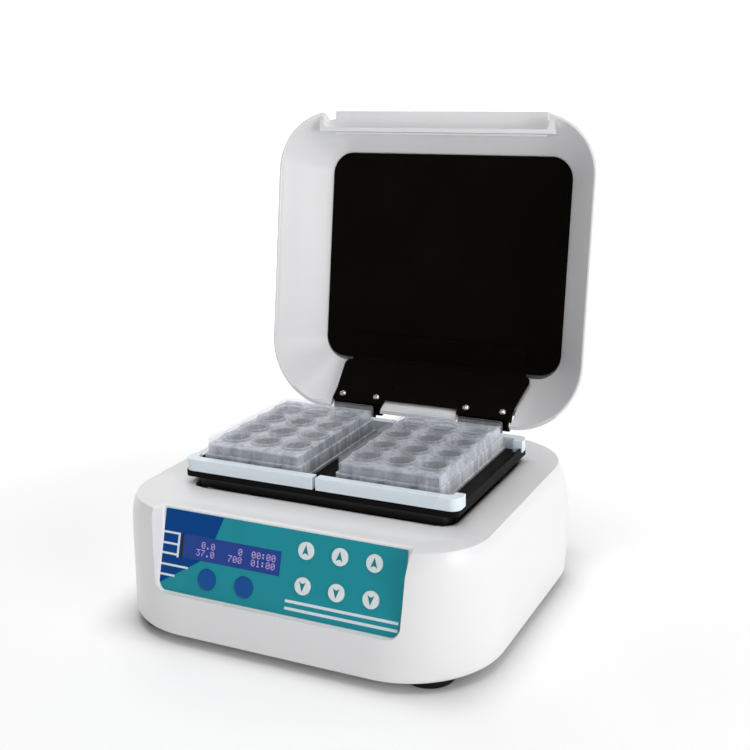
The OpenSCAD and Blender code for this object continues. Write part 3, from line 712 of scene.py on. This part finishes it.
def chamfer_ring(cx, hx, hy, r, c, z):
    """rounded rectangle whose two left corners are cut off at c"""
    q = []
    n = 4
    for x, y, a0 in ((hx - r, -hy + r, -90), (hx - r, hy - r, 0)):
        q += [(x + r * math.cos(math.radians(a0 + 90 * i / n)), y + r * math.sin(math.radians(a0 + 90 * i / n))) for i in range(n + 1)]
    q += [(-hx + c + 0.6, hy), (-hx + c, hy - 0.25), (-hx + 0.25, hy - c), (-hx, hy - c - 0.6)]
    q += [(-hx, -hy + c + 0.6), (-hx + 0.25, -hy + c), (-hx + c, -hy + 0.25), (-hx + c + 0.6, -hy)]
    return np.array([(cx + x, y, 104.0 + z) for x, y in q])


def discs(name, cx, prof, n=48):
    """one mesh of turned shapes, one at each well"""
    obs = [lathe("d", prof, c=(cx + x, y, 104.0), n=n, sharp=0) for x, y in WELLS]
    return join(name, obs) if obs else None


def make_plate(side):
    cx = PLATE_X[side]
    A, B = 42.74, 63.88
    rings = [plate_ring(cx, 37.9, 59.3, 1.4, 17.0), plate_ring(cx, 37.9, 59.3, 1.4, 10.4), plate_ring(cx, 38.4, 59.8, 1.5, 10.2),
             plate_ring(cx, A - 2.8, B - 2.8, 1.6, 10.2), plate_ring(cx, A - 2.8, B - 2.8, 1.6, 1.6), plate_ring(cx, A - 1.5, B - 1.5, 2.2, 1.3),
             plate_ring(cx, A - 1.4, B - 1.4, 2.2, 0.0), plate_ring(cx, A - 0.15, B - 0.15, 3.1, 0.0), plate_ring(cx, A, B, 3.2, 0.2),
             plate_ring(cx, A, B, 3.2, 2.1), plate_ring(cx, A - 0.3, B - 0.3, 3.0, 2.45), plate_ring(cx, A - 1.3, B - 1.3, 2.6, 2.5),
             plate_ring(cx, A - 1.44, B - 1.44, 2.6, 2.8), plate_ring(cx, A - 1.5, B - 1.5, 2.6, 11.2), plate_ring(cx, A - 1.8, B - 1.8, 2.4, 11.55),
             plate_ring(cx, 39.7, 60.8, 2.3, 11.6), plate_ring(cx, 39.5, 60.6, 2.2, 11.9), plate_ring(cx, 39.4, 60.5, 2.2, 17.9),
             plate_ring(cx, 39.0, 60.1, 2.0, 18.4)]
    v, f = loft(rings)
    o = mesh("microplate_%s_skin" % side, v, f, sharp=0)
    recalc(o)
    rods = discs("rods", cx, [(0, 1.6), (11.2, 1.6), (11.9, 1.9), (12.15, 2.5), (12.2, 19.9), (12.0, 20.15), (11.7, 20.2), (0, 20.2)])
    boolean(o, rods, "UNION")
    bores = discs("bores", cx, [(0, 3.0), (10.4, 3.0), (10.85, 3.2), (11.0, 3.8), (11.05, 19.7), (11.25, 20.1), (11.5, 22.0), (0, 22.0)])
    boolean(o, bores)
    # ribs between the skirt and the wells
    ribs = []
    for x in (-26, 0, 26):
        for s in (-1, 1):
            ribs.append(boxm("rib", cx + x - 0.6, cx + x + 0.6, min(s * 50.8, s * 61.4), max(s * 50.8, s * 61.4), 106.0, 116.0 if abs(x) else 114.8))
    for y in (-39, -13, 13, 39):
        for s in (-1, 1):
            a, b = cx + s * 37.6, cx + s * 40.2
            ribs.append(boxm("rib", min(a, b), max(a, b), y - 0.6, y + 0.6, 106.0, 114.6))
    ribs = join("ribs", ribs)
    boolean(o, ribs, "UNION")
    sharpen(o.data, 30)
    o.data.materials.clear()
    o.data.materials.append(M["clear"])
    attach(o, "plate_" + side)
    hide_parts("microplate_" + side)
    # lid with its raised border, and a ring over each well
    c = 5.2
    rings = [chamfer_ring(cx, 39.9, 61.05, 2.2, c - 0.8, 20.75), chamfer_ring(cx, 39.9, 61.05, 2.2, c - 0.8, 12.0), chamfer_ring(cx, 40.1, 61.25, 2.3, c - 0.6, 11.65),
             chamfer_ring(cx, 40.9, 62.05, 2.9, c, 11.62), chamfer_ring(cx, 41.05, 62.2, 3.0, c, 11.8), chamfer_ring(cx, 40.95, 62.1, 3.0, c, 21.9),
             chamfer_ring(cx, 40.6, 61.75, 2.8, c, 22.3), chamfer_ring(cx, 40.2, 61.35, 2.6, c, 22.4), chamfer_ring(cx, 39.2, 60.35, 2.2, c, 22.4),
             chamfer_ring(cx, 38.9, 60.05, 2.0, c, 22.25), chamfer_ring(cx, 38.7, 59.85, 2.0, c, 21.85), chamfer_ring(cx, 38.4, 59.55, 1.8, c, 21.75)]
    v, f = loft(rings)
    o = mesh("microplate_%s_lid_skin" % side, v, f, sharp=0)
    recalc(o)
    rg = discs("rings", cx, [(0, 21.2), (10.9, 21.2), (10.9, 20.4), (10.75, 20.32), (10.1, 20.32), (9.95, 20.4), (9.9, 20.9), (0, 20.95)])
    boolean(o, rg, "UNION")
    sharpen(o.data, 30)
    o.data.materials.clear()
    o.data.materials.append(M["clear_lid"])
    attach(o, "plate_%s_cover" % side)
    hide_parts("microplate_%s_lid" % side)


for side in ("left", "right"):
    make_plate(side)

# ------------------------------------------------------------------ feet
feet = []
for x, y in ((-105, -109), (105, -109), (-105, 80), (105, 80)):
    feet.append(lathe("foot", [(0, 0.9), (9.5, 0.9), (10.2, 0.2), (10.8, 0.0), (16.6, 0.0), (17.4, 0.25), (18.2, 1.2), (19.2, 3.2), (19.5, 4.2), (19.5, 5.9), (19.0, 6.45), (0, 6.45)],
                      c=(x, y, 0), n=96, mat=M["rubber"]))
feet = join("feet_rubber", feet)
sharpen(feet.data, 35)
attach(feet, "base")
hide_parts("feet")

# ------------------------------------------------------------------ bracket screws
scr = []
for x, s in ((-73.8, 7.4), (-41.5, 7.4), (41.5, 7.4), (73.8, 7.4)):
    h = lathe("screw", [(0, -3.5), (1.4, -3.5), (1.45, 0.02), (2.95, 0.02), (3.0, 0.5), (2.85, 1.0), (2.45, 1.4), (1.7, 1.62), (0, 1.68)], c=(x, s, 0), n=40, tr=sheet_local, mat=M["steel"])
    a = math.radians(20 + x)
    for k in range(2):
        b = a + k * math.pi / 2
        ca, sa = math.cos(b), math.sin(b)
        L, w = 1.75, 0.34
        pts = [(x + L * ca * i - w * sa * j, s + L * sa * i + w * ca * j) for i, j in ((-1, -1), (1, -1), (1, 1), (-1, 1))]
        boolean(h, prism("slot", pts, 0.55, 3, tr=sheet_local))
    sharpen(h.data, 30)
    scr.append(h)
scr = join("bracket_screw_heads", scr)
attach(scr, "lid")
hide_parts("bracket_screws")

# ------------------------------------------------------------------ control panel
def film(name, pts, w0, w1, mat):
    o = prism(name, pts, w0, w1, tr=panel_local, mat=mat)
    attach(o, "base")
    return o


def rrect(x0, x1, v0, v1, r, n=5):
    pts = []
    for cx, cy, a0 in ((x1 - r, v0 + r, -90), (x1 - r, v1 - r, 0), (x0 + r, v1 - r, 90), (x0 + r, v0 + r, 180)):
        pts += [(cx + r * math.cos(math.radians(a0 + 90 * i / n)), cy + r * math.sin(math.radians(a0 + 90 * i / n))) for i in range(n + 1)]
    return pts


film("panel_zone_navy", [(-94.8, 0.25), (-46.2, 0.25), (-51.8, 16.1), (-77.6, 16.1), (-77.6, 33.2), (-61.8, 33.2), (-65.1, 35.4), (-93.3, 53.0), (-94.8, 53.9)], 0.0, 0.05, M["navy"])
stripes = []
for v, x1 in ((17.0, -81.3), (24.8, -81.7), (32.0, -81.9), (40.0, -71.9), (47.3, -82.4)):
    stripes.append(prism("st", rrect(-94.8, x1, v - 0.75, v + 0.75, 0.15, 2), 0.05, 0.10, tr=panel_local, mat=M["white"]))
for v in (48.5, 53.5):
    stripes.append(prism("st", rrect(8.3, 93.1, v - 1.0, v + 1.0, 0.3, 2), 0.0, 0.06, tr=panel_local, mat=M["white"]))
stripes.append(prism("st", rrect(-82.4, -80.7, 16.2, 33.9, 0.2, 2), 0.05, 0.11, tr=panel_local, mat=M["white"]))
stripes = join("panel_stripes", stripes)
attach(stripes, "base")
film("panel_black_bar", rrect(-79.6, -77.6, 16.3, 33.3, 0.2, 2), 0.05, 0.10, M["line"])

FONT = {"0": "01110 10001 10011 10101 11001 10001 01110", "1": "00100 01100 00100 00100 00100 00100 01110", "3": "11111 00010 00100 00010 00001 10001 01110",
        "7": "11111 00001 00010 00100 01000 01000 01000", ".": "00000 00000 00000 00000 00000 01100 01100", ":": "00000 01100 01100 00000 01100 01100 00000",
        " ": "00000 00000 00000 00000 00000 00000 00000"}
dv, dfc = [], []


def put_text(txt, right, vc, pitch=3.95, cw=0.62, ch=0.66):
    n = len(txt)
    for k, c in enumerate(txt):
        x0 = right - (n - k) * pitch + (pitch - 5 * cw)
        for r, row in enumerate(FONT[c].split()):
            for q, bit in enumerate(row):
                if bit == "1":
                    a, b = x0 + q * cw, vc - 3.5 * ch + r * ch
                    i = len(dv)
                    dv.extend([(a, b, 0.03), (a + cw * 0.93, b, 0.03), (a + cw * 0.93, b + ch * 0.93, 0.03), (a, b + ch * 0.93, 0.03),
                               (a, b, -0.06), (a + cw * 0.93, b, -0.06), (a + cw * 0.93, b + ch * 0.93, -0.06), (a, b + ch * 0.93, -0.06)])
                    dfc.extend([(i, i + 1, i + 2, i + 3), (i + 4, i + 7, i + 6, i + 5), (i, i + 4, i + 5, i + 1), (i + 1, i + 5, i + 6, i + 2), (i + 2, i + 6, i + 7, i + 3), (i + 3, i + 7, i + 4, i)])


put_text("0.0", -51.4, 22.0)
put_text("37.0", -51.4, 27.6)
put_text("0", -28.9, 22.0)
put_text("700", -28.9, 27.6)
put_text("00:00", -2.3, 22.0)
put_text("01:00", -2.3, 27.6)
dg = mesh("display_digits", [(a, b, c - 0.06) for a, b, c in dv], dfc, tr=panel_local, mat=M["digit"], sharp=30)
recalc(dg)
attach(dg, "base")

# keys: rounded discs with an inlaid arrow each
UK = {"key_temp_up": (20.7, 12.5), "key_speed_up": (46.4, 12.5), "key_time_up": (72.0, 12.5)}
DK = {"key_temp_down": (20.7, 36.6), "key_speed_down": (46.4, 36.6), "key_time_down": (72.0, 36.6)}
for d, sgn in ((UK, 1), (DK, -1)):
    for n, (x, v) in d.items():
        o = lathe(n + "_cap", [(0, -6), (2.3, -6), (2.4, -2.2), (6.1, -2.2), (6.1, 0.45), (5.95, 0.72), (5.6, 0.86), (5.0, 0.90), (0, 0.90)], c=(x, v, 0), n=72, tr=panel_local, mat=M["key"], sharp=28)
        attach(o, n)
        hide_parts(n)
        a = [(0, -3.9), (2.55, 3.1), (0.9, 2.0), (0, 1.75), (-0.9, 2.0), (-2.55, 3.1)]
        ar = prism(n + "_arrow", [(x + p, v + q * sgn) for p, q in a], 0.90, 0.95, tr=panel_local, mat=M["arrow"])
        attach(ar, n)
for n, (x, v) in {"key_select": (-55.3, 45.4), "key_run": (-25.0, 45.4)}.items():
    o = lathe(n + "_cap", [(0, -6), (2.3, -6), (2.4, -2.2), (7.3, -2.2), (7.3, 0.45), (7.15, 0.72), (6.8, 0.86), (6.2, 0.90), (0, 0.90)], c=(x, v, 0), n=80, tr=panel_local, mat=M["keyblue"], sharp=28)
    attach(o, n)
    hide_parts(n)

# ------------------------------------------------------------------ stage
floor = bpy.data.meshes.new("floor")
floor.from_pydata([(-40, -40, -0.0002), (40, -40, -0.0002), (40, 40, -0.0002), (-40, 40, -0.0002)], [], [(0, 1, 2, 3)])
floor = bpy.data.objects.new("floor", floor)
bpy.context.scene.collection.objects.link(floor)
# glow of the floor and of the studio's walls, by direction: away from the camera, left of it, towards it, right of it
DIRS = ((-0.442, 0.897, 0.0), (-0.897, -0.442, 0.0), (0.442, -0.897, 0.0), (0.897, 0.442, 0.0))
# near the part the floor's glow is held low, a painted shade round it, and it rises to the far glow between FLOOR_R0
# and FLOOR_R1
FLOOR_SHADED_NEAR, FLOOR_R0, FLOOR_R1 = 0.198, 0.25, 1.1
FLOOR_FAR = (1.02, 0.55, 0.45, 0.55)
BAND = (1.06, 0.60, 0.60, 0.60)
SKY = (0.60, 0.27, 0.24, 0.33)


def lobes(nt, vec, name, values):
    """a number that turns smoothly from one of four values to the next with the direction of vec"""
    tot = None
    for k, (d, v) in enumerate(zip(DIRS, values)):
        a = nt.nodes.new("ShaderNodeVectorMath")
        a.operation = "DOT_PRODUCT"
        a.inputs[1].default_value = d
        nt.links.new(vec, a.inputs[0])
        b = nt.nodes.new("ShaderNodeMath")
        b.operation = "MAXIMUM"
        b.inputs[1].default_value = 0.0
        nt.links.new(a.outputs["Value"], b.inputs[0])
        c = nt.nodes.new("ShaderNodeMath")
        c.operation = "POWER"
        c.inputs[1].default_value = 2.0
        nt.links.new(b.outputs[0], c.inputs[0])
        e = nt.nodes.new("ShaderNodeMath")
        e.operation = "MULTIPLY_ADD"
        e.name = "%s_%d" % (name, k)
        e.inputs[1].default_value = v
        e.inputs[2].default_value = 0.0
        nt.links.new(c.outputs[0], e.inputs[0])
        if tot is not None:
            nt.links.new(tot, e.inputs[2])
        tot = e.outputs[0]
    return tot


def flat_unit(nt, vec):
    m = nt.nodes.new("ShaderNodeVectorMath")
    m.operation = "MULTIPLY"
    m.inputs[1].default_value = (1, 1, 0)
    nt.links.new(vec, m.inputs[0])
    n = nt.nodes.new("ShaderNodeVectorMath")
    n.operation = "NORMALIZE"
    nt.links.new(m.outputs["Vector"], n.inputs[0])
    return n.outputs["Vector"]


fm = material("floor_pale", (0.86, 0.86, 0.86), rough=0.7, var=0.0, spec=0.1, emission=(1, 1, 1), estrength=0.25)
fn = fm.node_tree
tc = fn.nodes.new("ShaderNodeTexCoord")
ln = fn.nodes.new("ShaderNodeVectorMath")
ln.operation = "LENGTH"
fn.links.new(tc.outputs["Object"], ln.inputs[0])
mr = fn.nodes.new("ShaderNodeMapRange")
mr.name = "floor_glow_shaded_near"
mr.interpolation_type = "SMOOTHSTEP"
mr.inputs["From Min"].default_value = FLOOR_R0
mr.inputs["From Max"].default_value = FLOOR_R1
mr.inputs["To Min"].default_value = FLOOR_SHADED_NEAR
fn.links.new(lobes(fn, flat_unit(fn, tc.outputs["Object"]), "floor", FLOOR_FAR), mr.inputs["To Max"])
fn.links.new(ln.outputs["Value"], mr.inputs["Value"])
# painted contact shadow: the floor's glow is cut to nothing over the housing's footprint and fades back in within 48 mm
# of its edges
q = tc.outputs["Object"]
for op, val in (("SUBTRACT", (0.0, -0.033, 0.0)), ("ABSOLUTE", None), ("SUBTRACT", (0.125, 0.115, 0.0)), ("MAXIMUM", (0.0, 0.0, 0.0))):
    a = fn.nodes.new("ShaderNodeVectorMath")
    a.operation = op
    if val:
        a.inputs[1].default_value = val
    fn.links.new(q, a.inputs[0])
    q = a.outputs["Vector"]
a = fn.nodes.new("ShaderNodeVectorMath")
a.operation = "LENGTH"
fn.links.new(q, a.inputs[0])
painted_shadow = fn.nodes.new("ShaderNodeMapRange")
painted_shadow.interpolation_type = "SMOOTHSTEP"
painted_shadow.inputs["From Min"].default_value = 0.0
painted_shadow.inputs["From Max"].default_value = 0.048
fn.links.new(a.outputs["Value"], painted_shadow.inputs["Value"])
ml = fn.nodes.new("ShaderNodeMath")
ml.operation = "MULTIPLY"
fn.links.new(mr.outputs["Result"], ml.inputs[0])
fn.links.new(painted_shadow.outputs["Result"], ml.inputs[1])
fn.links.new(ml.outputs[0], fn.nodes["Principled BSDF"].inputs["Emission Strength"])
floor.data.materials.append(fm)

# white at the horizon, softer overhead
w = bpy.data.worlds.new("studio")
bpy.context.scene.world = w
w.use_nodes = True
wn = w.node_tree
wt = wn.nodes.new("ShaderNodeTexCoord")
ws = wn.nodes.new("ShaderNodeSeparateXYZ")
wn.links.new(wt.outputs["Generated"], ws.inputs[0])
wu = flat_unit(wn, wt.outputs["Generated"])
wr = wn.nodes.new("ShaderNodeMapRange")
wr.name = "sky_fall"
wr.inputs["From Min"].default_value = 0.10
wr.inputs["From Max"].default_value = 0.22
wn.links.new(lobes(wn, wu, "band", BAND), wr.inputs["To Min"])
wn.links.new(lobes(wn, wu, "sky", SKY), wr.inputs["To Max"])
wn.links.new(ws.outputs["Z"], wr.inputs["Value"])
wn.nodes["Background"].inputs["Color"].default_value = (1, 1, 1, 1)
wn.links.new(wr.outputs["Result"], wn.nodes["Background"].inputs["Strength"])


def area(name, az, el, dist, size, power, color=(1, 1, 1), target=(0, 0, 0.12)):
    """soft box; azimuth 0 in front of the part, 90 on its right"""
    l = bpy.data.lights.new(name, "AREA")
    l.shape = "SQUARE"
    l.size = size
    l.energy = power
    l.color = color
    o = bpy.data.objects.new(name, l)
    bpy.context.scene.collection.objects.link(o)
    a, e = math.radians(az), math.radians(el)
    o.location = Vector(target) + dist * Vector((math.sin(a) * math.cos(e), -math.cos(a) * math.cos(e), math.sin(e)))
    d = Vector(target) - o.location
    o.rotation_euler = d.to_track_quat("-Z", "Y").to_euler()
    return o


LIGHTS = [("key_right", 90, 25, 0.6), ("front_right", 45, 35, 0.5), ("rear_right", 135, 45, 0.3), ("rear_left", -135, 45, 7.5), ("top", 0, 89, 16.0), ("low_right", 70, 8, 19.6)]
for n, a, e, p in LIGHTS:
    area(n, a, e, 2.0, 1.1, p)

# ------------------------------------------------------------------ camera
AZ, EL, RO = math.radians(26.232), math.radians(15.684), math.radians(-1.341)
back = Vector((math.sin(AZ) * math.cos(EL), -math.cos(AZ) * math.cos(EL), math.sin(EL)))
right = Vector((math.cos(AZ), math.sin(AZ), 0))
up = back.cross(right)
r2 = right * math.cos(RO) + up * math.sin(RO)
u2 = up * math.cos(RO) - right * math.sin(RO)
cam = bpy.data.cameras.new("cam")
cam.lens = 56.63
cam.sensor_width = 36.0
cam.sensor_fit = "HORIZONTAL"
co = bpy.data.objects.new("cam", cam)
bpy.context.scene.collection.objects.link(co)
mt = Matrix.Identity(4)
for i in range(3):
    mt[i][0], mt[i][1], mt[i][2] = r2[i], u2[i], back[i]
mt[0][3], mt[1][3], mt[2][3] = 0.38912, -0.75840 + SH / 1000.0, 0.40924
co.matrix_world = mt
cam.clip_start = 0.01
cam.clip_end = 50
bpy.context.scene.camera = co
bpy.context.scene.view_settings.view_transform = "Standard"
bpy.context.scene.view_settings.look = "None"

bpy.context.view_layer.update()
